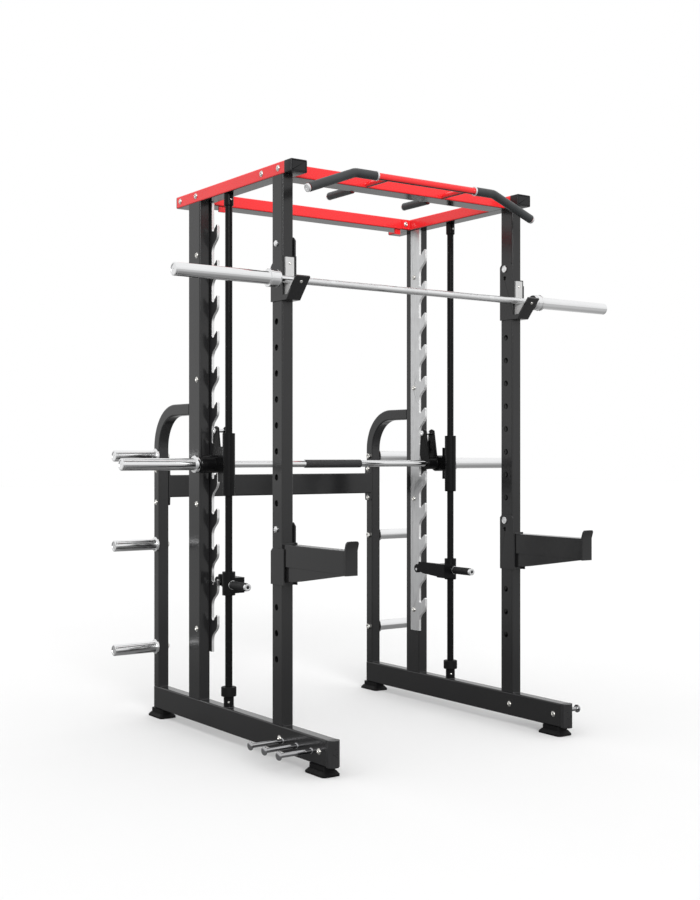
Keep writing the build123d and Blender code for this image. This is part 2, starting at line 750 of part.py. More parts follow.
with BuildPart() as stop_arm:
    with BuildSketch(Plane.XY.offset(stop_bottom)):
        with Locations((column_x, rod_y)):
            Circle(27)
    extrude(amount=stop_height)
    # Arm beside the catch plate, with a round end for the pin
    with BuildSketch(Plane.YZ.offset(stop_x)):
        with BuildLine():
            Polyline(
                (rod_y - 27, 606), (rod_y - 27, 670), (stop_pin_y - 14, 670),
                (stop_pin_y, stop_pin_z), (stop_pin_y - 44, 618), close=True)
        make_face()
        with Locations((stop_pin_y, stop_pin_z + 4)):
            Circle(20)
        with Locations((stop_pin_y, stop_pin_z)):
            Circle(stop_pin_r + 0.1, mode=Mode.SUBTRACT)
    extrude(amount=stop_thick)
    with BuildSketch(Plane.XY.offset(606)):
        with Locations(((stop_x + column_x) / 2, rod_y)):
            Rectangle(column_x - stop_x, 54)
    extrude(amount=64)
    with BuildSketch(Plane.XY.offset(stop_bottom)):
        with Locations((column_x, rod_y)):
            Circle(rod_r + running)
    extrude(amount=stop_height, mode=Mode.SUBTRACT)
    # Socket for the handle, on the front of the collar
    with BuildSketch(Plane.XZ.offset(-(rod_y - 30))):
        with Locations((column_x, 641)):
            Circle(8.1)
    extrude(amount=-10, mode=Mode.SUBTRACT)
save_sides(stop_arm, "stop_arm")

handle_end = front + 298.0
with BuildPart() as stop_pins:
    disc(stop_x - 3, plate_x + plate_thick + 4 - stop_x + 3, stop_pin_r, stop_pin_y, stop_pin_z)
    with BuildSketch(Plane.XZ.offset(-(rod_y - 20.5))):
        with Locations((column_x, 641)):
            Circle(8)
    extrude(amount=rod_y - 20.5 - handle_end)
    with BuildSketch(Plane.XZ.offset(-(handle_end + 12))):
        with Locations((column_x, 641)):
            Circle(15)
    extrude(amount=12)
save_sides(stop_pins, "stop_pins")

with BuildPart() as stop_grip:
    with BuildSketch(Plane.XZ.offset(-(rod_y - 29))):
        with Locations((column_x, 641)):
            Circle(17)
            Circle(8.1, mode=Mode.SUBTRACT)
    extrude(amount=rod_y - 29 - handle_end - 12.5)
save_sides(stop_grip, "stop_grip")
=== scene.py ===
"""Looks for the smith machine: materials, worked detail on its fittings, a plain floor and soft light.

Metres, in the frame's own axes: X along the bars, -Y the open front, +Z up.
"""
import json
from math import cos, pi, radians, sin

import bmesh
import bpy
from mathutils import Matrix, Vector

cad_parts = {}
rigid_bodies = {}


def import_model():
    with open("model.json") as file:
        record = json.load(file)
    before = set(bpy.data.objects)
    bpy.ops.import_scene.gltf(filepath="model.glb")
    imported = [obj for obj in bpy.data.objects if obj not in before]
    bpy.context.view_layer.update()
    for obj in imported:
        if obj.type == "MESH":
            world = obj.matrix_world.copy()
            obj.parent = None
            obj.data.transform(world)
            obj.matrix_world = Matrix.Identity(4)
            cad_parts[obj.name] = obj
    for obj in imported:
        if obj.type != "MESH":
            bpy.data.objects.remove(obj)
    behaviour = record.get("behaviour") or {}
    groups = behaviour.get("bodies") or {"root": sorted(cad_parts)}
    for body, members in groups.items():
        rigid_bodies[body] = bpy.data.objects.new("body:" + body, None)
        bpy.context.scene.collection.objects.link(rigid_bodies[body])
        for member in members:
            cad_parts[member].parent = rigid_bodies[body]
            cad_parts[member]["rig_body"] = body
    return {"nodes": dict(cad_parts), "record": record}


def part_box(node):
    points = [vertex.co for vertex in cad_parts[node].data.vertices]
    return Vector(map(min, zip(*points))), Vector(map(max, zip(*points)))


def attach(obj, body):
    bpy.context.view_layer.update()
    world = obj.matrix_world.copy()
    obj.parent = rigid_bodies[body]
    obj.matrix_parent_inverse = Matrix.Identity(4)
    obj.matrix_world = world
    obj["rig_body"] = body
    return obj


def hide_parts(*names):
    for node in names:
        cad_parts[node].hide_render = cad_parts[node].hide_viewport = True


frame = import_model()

MM = 0.001
nodes = frame["nodes"]
scene = bpy.context.scene
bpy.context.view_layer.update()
RIGHT, LEFT = 1, -1
SIDES = (("right", RIGHT), ("left", LEFT))
X, Y, Z = Vector((1, 0, 0)), Vector((0, 1, 0)), Vector((0, 0, 1))

BOLT_HEAD = 6 * MM                                # the height of a frame bolt's head
SLEEVE_BARREL = 25 * MM                           # the radius that carries weights, on both bars
CHROME_TINT = (0.84, 0.845, 0.85)

upright_low, upright_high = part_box("right_front_upright")
front_y = upright_low.y
column_x = (upright_low.x + upright_high.x) / 2


# --- Reading the frame --------------------------------------------------------------------------

def islands(node):
    """The boxes (low, high) of a CAD node's separate solids."""
    mesh = nodes[node].data
    parent = list(range(len(mesh.vertices)))

    def root(i):
        while parent[i] != i:
            parent[i] = parent[parent[i]]
            i = parent[i]
        return i

    # The importer splits vertices at sharp edges, so vertices at one place are tied first
    seen = {}
    for i, vertex in enumerate(mesh.vertices):
        key = tuple(round(c, 6) for c in vertex.co)
        parent[root(i)] = root(seen.setdefault(key, i))
    for edge in mesh.edges:
        a, b = (root(i) for i in edge.vertices)
        parent[a] = b
    groups = {}
    for i, vertex in enumerate(mesh.vertices):
        groups.setdefault(root(i), []).append(vertex.co)
    boxes = []
    for points in groups.values():
        low = Vector(min(p[k] for p in points) for k in range(3))
        high = Vector(max(p[k] for p in points) for k in range(3))
        boxes.append((low, high))
    return sorted(boxes, key=lambda box: tuple(round(c, 3) for c in box[0]))


def body_of(node):
    """The body that a CAD node moves with."""
    return nodes[node]["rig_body"]


def side_of(low, high):
    """The side of the machine that a box is on."""
    return RIGHT if low.x + high.x > 0 else LEFT


def inner_end(low, high):
    """The centre of a box's end nearest the middle of the machine."""
    centre = (low + high) / 2
    return Vector((side_of(low, high) * min(abs(low.x), abs(high.x)), centre.y, centre.z))


# --- Materials ----------------------------------------------------------------------------------

class Graph:
    """A material's node tree, with short names for what these materials need."""

    # A Mix node's colour sockets, by number
    COLOR_A, COLOR_B, COLOR_RESULT = 6, 7, 2

    def __init__(self, name, color, roughness, metallic=0.0, **extra):
        self.material = bpy.data.materials.new(name)
        self.material.use_nodes = True
        self.tree = self.material.node_tree
        self.shader = self.tree.nodes["Principled BSDF"]
        self.coords = self.tree.nodes.new("ShaderNodeTexCoord").outputs["Object"]
        self.color = color
        self.material.diffuse_color = (*color, 1)
        self.put(self.shader, "Base Color", (*color, 1))
        self.put(self.shader, "Roughness", roughness)
        self.put(self.shader, "Metallic", metallic)
        for key, value in extra.items():
            self.put(self.shader, key.replace("_", " "), value)

    def put(self, node, socket, value):
        """Set or link one input."""
        target = node.inputs[socket]
        if isinstance(value, bpy.types.NodeSocket):
            self.tree.links.new(value, target)
        else:
            target.default_value = value

    def math(self, operation, *values):
        """The result of a Math node on sockets or numbers."""
        node = self.tree.nodes.new("ShaderNodeMath")
        node.operation = operation
        for i, value in enumerate(values):
            self.put(node, i, value)
        return node.outputs[0]

    def scaled(self, factors):
        """Object coordinates stretched by a factor for each axis."""
        node = self.tree.nodes.new("ShaderNodeVectorMath")
        node.operation = "MULTIPLY"
        self.put(node, 0, self.coords)
        self.put(node, 1, factors)
        return node.outputs[0]

    def noise(self, scale, detail, factors=None):
        """Cloudy noise around 0.5, drawn out along an axis where its factor is small."""
        node = self.tree.nodes.new("ShaderNodeTexNoise")
        self.put(node, "Vector", self.scaled(factors) if factors else self.coords)
        self.put(node, "Scale", scale)
        self.put(node, "Detail", detail)
        return node.outputs["Fac"]

    def cells(self, scale):
        """Rounded cells, as the distance from each cell's centre."""
        node = self.tree.nodes.new("ShaderNodeTexVoronoi")
        self.put(node, "Vector", self.coords)
        self.put(node, "Scale", scale)
        return node.outputs["Distance"]

    def spread(self, value, low, high, start=0.3, end=0.7):
        """Map the values from start to end to a range; the defaults suit noise."""
        node = self.tree.nodes.new("ShaderNodeMapRange")
        self.put(node, "Value", value)
        for socket, number in (("From Min", start), ("From Max", end), ("To Min", low), ("To Max", high)):
            self.put(node, socket, number)
        return node.outputs["Result"]

    def mix(self, factor, a, b):
        """Mix two colours, each a socket or three numbers."""
        node = self.tree.nodes.new("ShaderNodeMix")
        node.data_type = "RGBA"
        self.put(node, "Factor", factor)
        for socket, value in ((self.COLOR_A, a), (self.COLOR_B, b)):
            self.put(node, socket, value if isinstance(value, bpy.types.NodeSocket) else (*value, 1))
        return node.outputs[self.COLOR_RESULT]

    def bump(self, height, distance, after=None):
        """A normal that follows a height, on top of another normal when one is given."""
        node = self.tree.nodes.new("ShaderNodeBump")
        self.put(node, "Height", height)
        self.put(node, "Distance", distance)
        if after is not None:
            self.put(node, "Normal", after)
        return node.outputs["Normal"]

    def component(self, vector, name):
        """One component of a vector socket."""
        node = self.tree.nodes.new("ShaderNodeSeparateXYZ")
        self.put(node, 0, vector)
        return node.outputs[name]

    def axis(self, name):
        """One of the object coordinates."""
        return self.component(self.coords, name)

    def normal_axis(self, name):
        """One component of the surface's own normal."""
        normal = self.tree.nodes.new("ShaderNodeTexCoord").outputs["Normal"]
        return self.component(normal, name)

    def vary(self, amount, scale=4.0):
        """Cloudy lighter and darker areas over the base colour; returns the colour socket."""
        dark = tuple(c * (1 - amount) for c in self.color)
        light = tuple(min(1, c * (1 + amount)) for c in self.color)
        return self.mix(self.spread(self.noise(scale, 3), 0, 1), dark, light)


def powder_coat(name, color, under=None):
    """Glossy powder coat: fine orange peel, slight clouds, and optionally a near-black colour on faces that
    look down, as painted shade.
    """
    graph = Graph(name, color, 0.2, Specular_IOR_Level=0.45)
    painted = graph.vary(0.06)
    if under:
        # Faces that look down take the under colour, which is painted shade under the beam.
        facing_down = graph.math("LESS_THAN", graph.normal_axis("Z"), -0.8)
        painted = graph.mix(facing_down, painted, under)
    graph.put(graph.shader, "Base Color", painted)
    graph.put(graph.shader, "Roughness", graph.spread(graph.noise(6, 3), 0.13, 0.2))
    peel = graph.bump(graph.noise(420, 1), 0.06 * MM)
    graph.put(graph.shader, "Normal", graph.bump(graph.noise(1800, 2), 0.02 * MM, after=peel))
    return graph.material


def chrome(name, tint):
    """Polished chrome over a turned surface: faint rings along the bar and soft smears."""
    graph = Graph(name, tint, 0.08, 1.0)
    graph.put(graph.shader, "Base Color", graph.vary(0.02, 9))
    smears = graph.noise(14, 4, (1, 3, 3))
    graph.put(graph.shader, "Roughness", graph.spread(smears, 0.06, 0.12))
    turned = graph.noise(900, 1, (1, 0.02, 0.02))
    graph.put(graph.shader, "Normal", graph.bump(turned, 0.008 * MM))
    return graph.material


def knurled(name, node, tint, zones, metallic, rough, depth):
    """A bar with a diamond knurl in the given stretches of |x|, smooth between them; the knurl's valleys are
    coloured darker as painted shade.
    """
    graph = Graph(name, tint, rough, metallic)
    box_low, box_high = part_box(node)
    centre, radius = (box_low + box_high) / 2, (box_high.z - box_low.z) / 2
    frequency = 34.0                              # of the sine waves, per radian around the bar
    around_bar = graph.math("ARCTAN2", graph.math("SUBTRACT", graph.axis("Z"), centre.z),
                            graph.math("SUBTRACT", graph.axis("Y"), centre.y))
    turns = graph.math("MULTIPLY", around_bar, frequency)
    along = graph.math("MULTIPLY", graph.axis("X"), frequency / radius)
    ridges = []
    for sign in ("ADD", "SUBTRACT"):
        wave = graph.math("SINE", graph.math(sign, along, turns))
        ridges.append(graph.math("ABSOLUTE", wave))
    diamonds = graph.math("MULTIPLY", *ridges)
    distance = graph.math("ABSOLUTE", graph.axis("X"))
    mask = None
    for low, high in zones:
        inside = graph.math("MULTIPLY", graph.math("GREATER_THAN", distance, low),
                            graph.math("LESS_THAN", distance, high))
        mask = inside if mask is None else graph.math("MAXIMUM", mask, inside)
    height = graph.math("MULTIPLY", diamonds, mask)
    # The knurl's valleys are coloured 20% darker: painted shade in the grooves.
    groove_shade = graph.math("MULTIPLY", mask, graph.spread(diamonds, 0.75, 0.0, start=0.0, end=0.6))
    groove_shade_tint = tuple(c * 0.8 for c in tint)
    graph.put(graph.shader, "Base Color", graph.mix(groove_shade, tint, groove_shade_tint))
    knurl_rough = graph.math("MULTIPLY", mask, 0.16)
    smooth_rough = graph.spread(graph.noise(14, 4), rough * 0.6, rough)
    graph.put(graph.shader, "Roughness", graph.math("ADD", knurl_rough, smooth_rough))
    graph.put(graph.shader, "Normal", graph.bump(height, depth))
    return graph.material


def rubber(name, color, rough=0.57, level=0.3):
    """Matt rubber with a fine grain."""
    graph = Graph(name, color, rough, Specular_IOR_Level=level)
    graph.put(graph.shader, "Base Color", graph.vary(0.18, 22))
    graph.put(graph.shader, "Roughness", graph.spread(graph.noise(60, 4), rough - 0.09, rough + 0.09))
    graph.put(graph.shader, "Normal", graph.bump(graph.noise(1500, 3), 0.12 * MM))
    return graph.material


def moulded_plastic(name, color, rough):
    """Injection-moulded plastic with a spark-eroded grain."""
    graph = Graph(name, color, rough, Specular_IOR_Level=0.3)
    graph.put(graph.shader, "Base Color", graph.vary(0.05, 12))
    graph.put(graph.shader, "Roughness", graph.spread(graph.noise(40, 4), rough - 0.08, rough + 0.08))
    graph.put(graph.shader, "Normal", graph.bump(graph.cells(1400), 0.06 * MM))
    return graph.material


def dark_steel(name, color, grain):
    """Black-finished steel: satin, with a fine machined grain along one axis."""
    graph = Graph(name, color, 0.3, Specular_IOR_Level=0.12)
    graph.put(graph.shader, "Base Color", graph.vary(0.06, 3))
    graph.put(graph.shader, "Roughness", graph.spread(graph.noise(30, 4), 0.24, 0.3))
    lines = graph.bump(graph.noise(700, 2, grain), 0.01 * MM)
    graph.put(graph.shader, "Normal", graph.bump(graph.noise(1500, 1), 0.005 * MM, after=lines))
    return graph.material


def bright_steel(name, color, rough, grain=(1, 1, 0.03), painted_beyond=None):
    """Plated or ground steel with a drawn grain.

    A plate painted on its outer face, beyond that |x|, has its cut edges coloured near white as a painted
    highlight.
    """
    graph = Graph(name, color, rough, 1.0)
    streaks = graph.noise(600, 2, grain)
    dark = tuple(c * 0.8 for c in color)
    surface = graph.mix(graph.spread(streaks, 0, 1), color, dark)
    surface_rough = graph.spread(graph.noise(25, 4), rough - 0.08, rough + 0.08)
    if painted_beyond:
        # Faces that don't look along X are coloured near white: a painted highlight on the plate's edges.
        edge_highlight, paint = (0.94, 0.94, 0.94), (0.018, 0.018, 0.019)
        on_face = graph.math("GREATER_THAN", graph.math("ABSOLUTE", graph.normal_axis("X")), 0.7)
        surface = graph.mix(on_face, edge_highlight, surface)
        outside = graph.math("GREATER_THAN", graph.math("ABSOLUTE", graph.axis("X")), painted_beyond)
        surface = graph.mix(outside, surface, paint)
        graph.put(graph.shader, "Metallic", graph.math("SUBTRACT", 1.0, outside))
        surface_rough = graph.math("ADD", graph.math("MULTIPLY", outside, 0.02), surface_rough)
    graph.put(graph.shader, "Base Color", surface)
    graph.put(graph.shader, "Roughness", surface_rough)
    graph.put(graph.shader, "Normal", graph.bump(streaks, 0.02 * MM))
    return graph.material


def dress(node, material):
    """Give a CAD node a material."""
    nodes[node].data.materials.clear()
    nodes[node].data.materials.append(material)


catch_outer_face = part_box("right_catch_plate")[1].x - 0.4 * MM
look = {
    "frame_black": powder_coat("frame_black", (0.016, 0.016, 0.0165)),
    # The red beams' under colour is painted shade on their undersides.
    "frame_red": powder_coat("frame_red", (0.90, 0.026, 0.030), under=(0.008, 0.008, 0.008)),
    "chrome": chrome("chrome", CHROME_TINT),
    "black_steel": dark_steel("black_steel", (0.005, 0.005, 0.0053), (1, 1, 0.05)),
    "plate_silver": bright_steel("plate_silver", (0.70, 0.705, 0.71), 0.36, painted_beyond=catch_outer_face),
    "bolt_steel": bright_steel("bolt_steel", (0.80, 0.79, 0.76), 0.2, (1, 1, 1)),
    "bearing_steel": bright_steel("bearing_steel", (0.50, 0.50, 0.52), 0.26, (0.05, 1, 1)),
    "bronze": bright_steel("bronze", (0.58, 0.40, 0.20), 0.34, (0.05, 1, 1)),
    "cap_black": moulded_plastic("cap_black", (0.011, 0.011, 0.012), 0.3),
    "grip_rubber": rubber("grip_rubber", (0.024, 0.027, 0.029), rough=0.38, level=0.55),
    "foot_rubber": rubber("foot_rubber", (0.005, 0.005, 0.0053), level=0.14),
    "liner_white": moulded_plastic("liner_white", (0.55, 0.55, 0.545), 0.34),
}
stop_rubber = rubber("stop_rubber", (0.007, 0.007, 0.0075))
peg_chrome = chrome("peg_chrome", (0.42, 0.42, 0.43))
slot_of = {entry["node"]: entry["material_slot"] for entry in frame["record"]["subparts"]}
for name in nodes:
    dress(name, look[slot_of[name]])
smith_zones = ((0.0, 0.148),)
barbell_zones = ((0.0, 0.06), (0.195, 0.40), (0.42, 0.60))
dress("smith_grip", knurled("black_knurl", "smith_grip", (0.02, 0.02, 0.021), smith_zones,
                            metallic=0.0, rough=0.3, depth=0.35 * MM))
dress("barbell_shaft", knurled("barbell_knurl", "barbell_shaft", CHROME_TINT, barbell_zones,
                               metallic=1.0, rough=0.1, depth=0.1 * MM))
dress("rail_end_caps", moulded_plastic("nose_black", (0.024, 0.024, 0.025), 0.34))


# --- Mesh building ------------------------------------------------------------------------------

def eased(points, radius, steps=4):
    """Round every corner of a closed outline with a small curve."""
    out = []
    for i, point in enumerate(points):
        p = Vector(point)
        before, after = Vector(points[i - 1]), Vector(points[(i + 1) % len(points)])
        reach = min(radius, 0.45 * (before - p).length, 0.45 * (after - p).length)
        a = p + (before - p).normalized() * reach
        b = p + (after - p).normalized() * reach
        for k in range(steps + 1):
            t = k / steps
            out.append(a * (1 - t) ** 2 + p * 2 * t * (1 - t) + b * t ** 2)
    return out


def hexagon(angle, apothem):
    """Radius of a hexagon with that apothem, at an angle."""
    return apothem / cos((angle + pi / 6) % (pi / 3) - pi / 6)


def square_to(axis):
    """Two unit directions square to a unit axis and to each other."""
    side = axis.orthogonal().normalized()
    return side, axis.cross(side)


def circle_point(centre, side, up, angle, radius):
    """The point at an angle on a circle spanned by two directions."""
    return centre + (side * cos(angle) + up * sin(angle)) * radius


def lathe(bm, profile, origin, axis, segments=40, hexagonal=(), ring=False):
    """Turn a profile of (distance along the axis, radius) about an axis.

    At the points numbered in hexagonal, radii are hexagon apothems. A ring's profile closes on itself.
    """
    axis = Vector(axis).normalized()
    side, up = square_to(axis)
    rows = []
    for i, (along, radius) in enumerate(profile):
        centre = Vector(origin) + axis * along
        if radius == 0:
            rows.append([bm.verts.new(centre)])
            continue
        row = []
        for k in range(segments):
            angle = 2 * pi * k / segments
            reach = hexagon(angle, radius) if i in hexagonal else radius
            row.append(bm.verts.new(circle_point(centre, side, up, angle, reach)))
        rows.append(row)
    if ring:
        rows.append(rows[0])
    for a, b in zip(rows, rows[1:]):
        for k in range(segments):
            n = (k + 1) % segments
            if len(a) == 1:
                bm.faces.new((a[0], b[n], b[k]))
            elif len(b) == 1:
                bm.faces.new((a[k], a[n], b[0]))
            else:
                bm.faces.new((a[k], a[n], b[n], b[k]))


def stack(bm, outline, origin, across, up, out, rows):
    """A closed solid from copies of an outline, each drawn in by an inset and pushed out."""
    count = len(outline)
    inward = []
    for i in range(count):
        along = (Vector(outline[(i + 1) % count]) - Vector(outline[i - 1])).normalized()
        inward.append(Vector((-along.y, along.x)))
    rings = []
    for inset, push in rows:
        ring = []
        for point, turn in zip(outline, inward):
            q = Vector(point) + turn * inset
            place = Vector(origin) + Vector(across) * q.x + Vector(up) * q.y + Vector(out) * push
            ring.append(bm.verts.new(place))
        rings.append(ring)
    for a, b in zip(rings, rings[1:]):
        for i in range(count):
            n = (i + 1) % count
            bm.faces.new((a[i], a[n], b[n], b[i]))
    bm.faces.new(rings[0][::-1])
    bm.faces.new(rings[-1])


def rectangle(width, height):
    """An outline centred on the origin, anticlockwise."""
    w, h = width / 2, height / 2
    return [(-w, -h), (w, -h), (w, h), (-w, h)]


def piece(name, bm, body, slot, replaced=(), material=None):
    """Finish a bmesh as a piece that rides on a body, in its slot's look unless given another."""
    bmesh.ops.recalc_face_normals(bm, faces=bm.faces)
    mesh = bpy.data.meshes.new(name)
    bm.to_mesh(mesh)
    bm.free()
    mesh.materials.append(material or look[slot])
    mesh.shade_smooth()
    mesh.set_sharp_from_angle(angle=radians(32))
    obj = bpy.data.objects.new(name, mesh)
    scene.collection.objects.link(obj)
    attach(obj, body)
    if replaced:
        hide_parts(*replaced)


# --- Bolts --------------------------------------------------------------------------------------

def button_head(bm, point, direction, radius=10 * MM, height=BOLT_HEAD, washer=True):
    """A domed socket screw's head, with a washer under it unless told otherwise."""
    base = 0.0
    if washer:
        hole, rim, bottom, top = radius * 0.5, radius * 1.2, 0.2 * MM, 1.5 * MM
        section = [(bottom, hole), (bottom, rim), (top, rim), (top, hole)]
        lathe(bm, eased(section, 0.4 * MM, 2), point, direction, ring=True)
        base = 1.4 * MM
    rise = height - base
    edge, steps, sweep = 0.25, 6, radians(66)     # the straight edge's share of the rise, then the dome
    dome = [(base, 0), (base, radius * 0.97), (base + rise * edge, radius)]
    for k in range(1, steps + 1):
        turn = sweep * k / steps
        dome.append((base + rise * (edge + (1 - edge) * sin(turn) / sin(sweep)), radius * cos(turn * 0.82)))
    socket, socket_floor = radius * 0.44, height - 0.55 * rise
    round_points = len(dome)
    dome += [(height, socket * 1.04), (height - 0.4 * MM, socket), (socket_floor, socket), (socket_floor, 0)]
    lathe(bm, dome, point, direction, 48, hexagonal=range(round_points, len(dome)))


def hex_nut(bm, point, direction):
    """A chamfered hexagon nut."""
    apothem, bore, thick, chamfer = 12 * MM, 8.3 * MM, 10 * MM, 1.2 * MM
    profile = [(0, bore), (0, apothem * 0.97), (chamfer, apothem), (thick - chamfer, apothem),
               (thick, apothem * 0.97), (thick, bore)]
    lathe(bm, profile, point, direction, 48, hexagonal=(2, 3), ring=True)


def frame_bolts():
    """The frame's screws and through bolts on their washers, and the storage pegs' nuts."""
    bm = bmesh.new()
    shank = 6 * MM
    for low, high in islands("frame_bolts"):
        centre, size, side = (low + high) / 2, high - low, side_of(low, high)
        outward = X * side
        inner, outer = (low.x, high.x) if side == RIGHT else (high.x, low.x)
        inner_seat = Vector((inner + side * BOLT_HEAD, centre.y, centre.z))
        outer_seat = Vector((outer - side * BOLT_HEAD, centre.y, centre.z))
        if size.y < 7 * MM:                       # the rear beam's corner screws face forward
            button_head(bm, Vector((centre.x, high.y, centre.z)), -Y)
        elif size.x > 30 * MM:                    # through bolts, headed at both ends
            button_head(bm, outer_seat, outward)
            button_head(bm, inner_seat, -outward)
            between = size.x - 2 * BOLT_HEAD
            lathe(bm, [(0, 0), (0, shank), (between, shank), (between, 0)], inner_seat, outward, 24)
        elif size.y > 22 * MM:                    # the storage pegs' nuts
            hex_nut(bm, Vector((outer, centre.y, centre.z)), -outward)
        else:
            button_head(bm, outer_seat, outward)
    piece("frame_bolts_and_washers", bm, body_of("frame_bolts"), "bolt_steel", ("frame_bolts",))


# --- Chrome bars, sleeves and pegs --------------------------------------------------------------

def end_dish(length, radius):
    """The last stretch of a chrome bar: a groove, a chamfer and a dished end plug."""
    return [(length - 9 * MM, radius), (length - 8.4 * MM, radius - 0.7 * MM),
            (length - 7 * MM, radius - 0.7 * MM), (length - 6.4 * MM, radius),
            (length - 2.2 * MM, radius), (length - 0.5 * MM, radius - 1.8 * MM),
            (length, radius - 3.4 * MM), (length, radius - 6.4 * MM),
            (length - 2.4 * MM, radius - 7.6 * MM), (length - 2.4 * MM, 3.2 * MM),
            (length - 3.6 * MM, 2.2 * MM), (length - 3.6 * MM, 0)]


def storage_pegs():
    """Chrome weight pegs on their flanges, with the stud that passes through the post."""
    bm = bmesh.new()
    flange, peg, stud = 33 * MM, 25 * MM, 8 * MM
    outer_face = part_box("right_storage_post")[1].x
    for low, high in islands("storage_pegs"):
        centre, side = (low + high) / 2, side_of(low, high)
        near, far = sorted((abs(low.x), abs(high.x)))
        inner, reach = outer_face - near, far - outer_face
        profile = [(-inner, 0), (-inner, stud - 1 * MM), (-inner + 1 * MM, stud), (0, stud),
                   (0, flange - 1.2 * MM), (1.2 * MM, flange), (7 * MM, flange), (9 * MM, flange - 2.4 * MM),
                   (9 * MM, peg + 3.2 * MM), (10 * MM, peg + 1.2 * MM), (12.4 * MM, peg)]
        start = Vector((side * outer_face, centre.y, centre.z))
        lathe(bm, profile + end_dish(reach, peg), start, X * side, 56)
    piece("turned_storage_pegs", bm, body_of("storage_pegs"), "chrome", ("storage_pegs",))


def band_pegs():
    """Slim pegs with a collar at the rail and a domed cap."""
    bm = bmesh.new()
    rod, cap = 8.9 * MM, 17 * MM
    for low, high in islands("band_pegs"):
        length = high.x - low.x
        profile = [(0, 0), (0, rod), (7.9 * MM, rod), (8 * MM, rod + 3.4 * MM), (10.6 * MM, rod + 2.6 * MM),
                   (12 * MM, rod), (length - 13 * MM, rod), (length - 11 * MM, rod + 1.6 * MM),
                   (length - 11 * MM, cap - 1.5 * MM), (length - 9.6 * MM, cap), (length - 5.5 * MM, cap),
                   (length - 2.4 * MM, cap - 2.1 * MM), (length - 0.6 * MM, cap - 6 * MM),
                   (length, cap - 11 * MM), (length, 0)]
        lathe(bm, profile, inner_end(low, high), X * side_of(low, high), 40)
    piece("turned_band_pegs", bm, body_of("band_pegs"), "chrome", ("band_pegs",), peg_chrome)


def sleeve(word, bar, bore, root):
    """A bar's hollow sleeve: the root's own profile, a smooth barrel and a dished end."""
    node = f"{word}_{bar}_sleeve"
    low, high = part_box(node)
    length = high.x - low.x
    end_wall = 12 * MM
    profile = [(length - end_wall, 0), (length - end_wall, bore)] + root + end_dish(length, SLEEVE_BARREL)
    bm = bmesh.new()
    lathe(bm, profile, inner_end(low, high), X * side_of(low, high), 64)
    piece(f"{word}_turned_{bar}_sleeve", bm, body_of(node), "chrome", (node,))


def barbell_sleeve(word):
    """A revolving Olympic sleeve, with a stepped collar and a flange."""
    collar, flange, barrel, bore = 33 * MM, 35 * MM, SLEEVE_BARREL, 20 * MM
    root = [(0.4 * MM, bore), (0, bore + 0.8 * MM), (0, collar - 3 * MM), (1.5 * MM, collar - 1 * MM),
            (3.5 * MM, collar), (9 * MM, collar), (9.6 * MM, collar - 0.8 * MM),
            (11.4 * MM, collar - 0.8 * MM), (12 * MM, collar), (34.6 * MM, collar),
            (35.2 * MM, flange - 0.8 * MM), (36 * MM, flange), (45.6 * MM, flange),
            (47 * MM, flange - 1.4 * MM), (47 * MM, barrel + 2.2 * MM), (48 * MM, barrel + 0.6 * MM),
            (50 * MM, barrel)]
    sleeve(word, "barbell", bore, root)


def smith_sleeve(word):
    """The Smith bar's sleeve, with a flange and a black dust cover over its hub."""
    flange, barrel, bore = 36 * MM, SLEEVE_BARREL, 15.1 * MM
    root = [(0.3 * MM, bore), (0, bore + 0.5 * MM), (0, flange - 6 * MM), (2 * MM, flange - 5 * MM),
            (12 * MM, flange - 5 * MM), (13 * MM, flange - 4 * MM), (20 * MM, flange - 1 * MM),
            (22 * MM, flange), (31 * MM, flange), (33.4 * MM, flange - 1.6 * MM), (34 * MM, flange - 4 * MM),
            (34 * MM, barrel + 2 * MM), (35 * MM, barrel + 0.6 * MM), (37 * MM, barrel)]
    sleeve(word, "smith", bore, root)
    node = f"{word}_smith_sleeve"
    low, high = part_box(node)
    hole, hub, rim = 15.4 * MM, 31.3 * MM, 36.6 * MM
    cover = [(-7.4 * MM, hole), (-7.4 * MM, rim - 0.8 * MM), (-6.6 * MM, rim), (9.2 * MM, rim),
             (10 * MM, rim - 0.8 * MM), (10 * MM, hub), (-5.4 * MM, hub), (-5.4 * MM, hole)]
    bm = bmesh.new()
    lathe(bm, cover, inner_end(low, high), X * side_of(low, high), 64, ring=True)
    piece(f"{word}_hub_dust_cover", bm, body_of(node), "black_steel")


def soften(node, width):
    """Round a CAD node's sharp edges a little, without moving its faces."""
    obj = nodes[node]
    weld = obj.modifiers.new("tie_seams", "WELD")
    weld.merge_threshold = 0.01 * MM
    bevel = obj.modifiers.new("soft_edges", "BEVEL")
    bevel.width = width
    bevel.segments = 2
    bevel.limit_method = "ANGLE"
    bevel.angle_limit = radians(40)
    bevel.use_clamp_overlap = False
    bevel.miter_outer = "MITER_ARC"
    normals = obj.modifiers.new("even_normals", "WEIGHTED_NORMAL")
    normals.keep_sharp = False


# --- Pins, trim and small screws ----------------------------------------------------------------

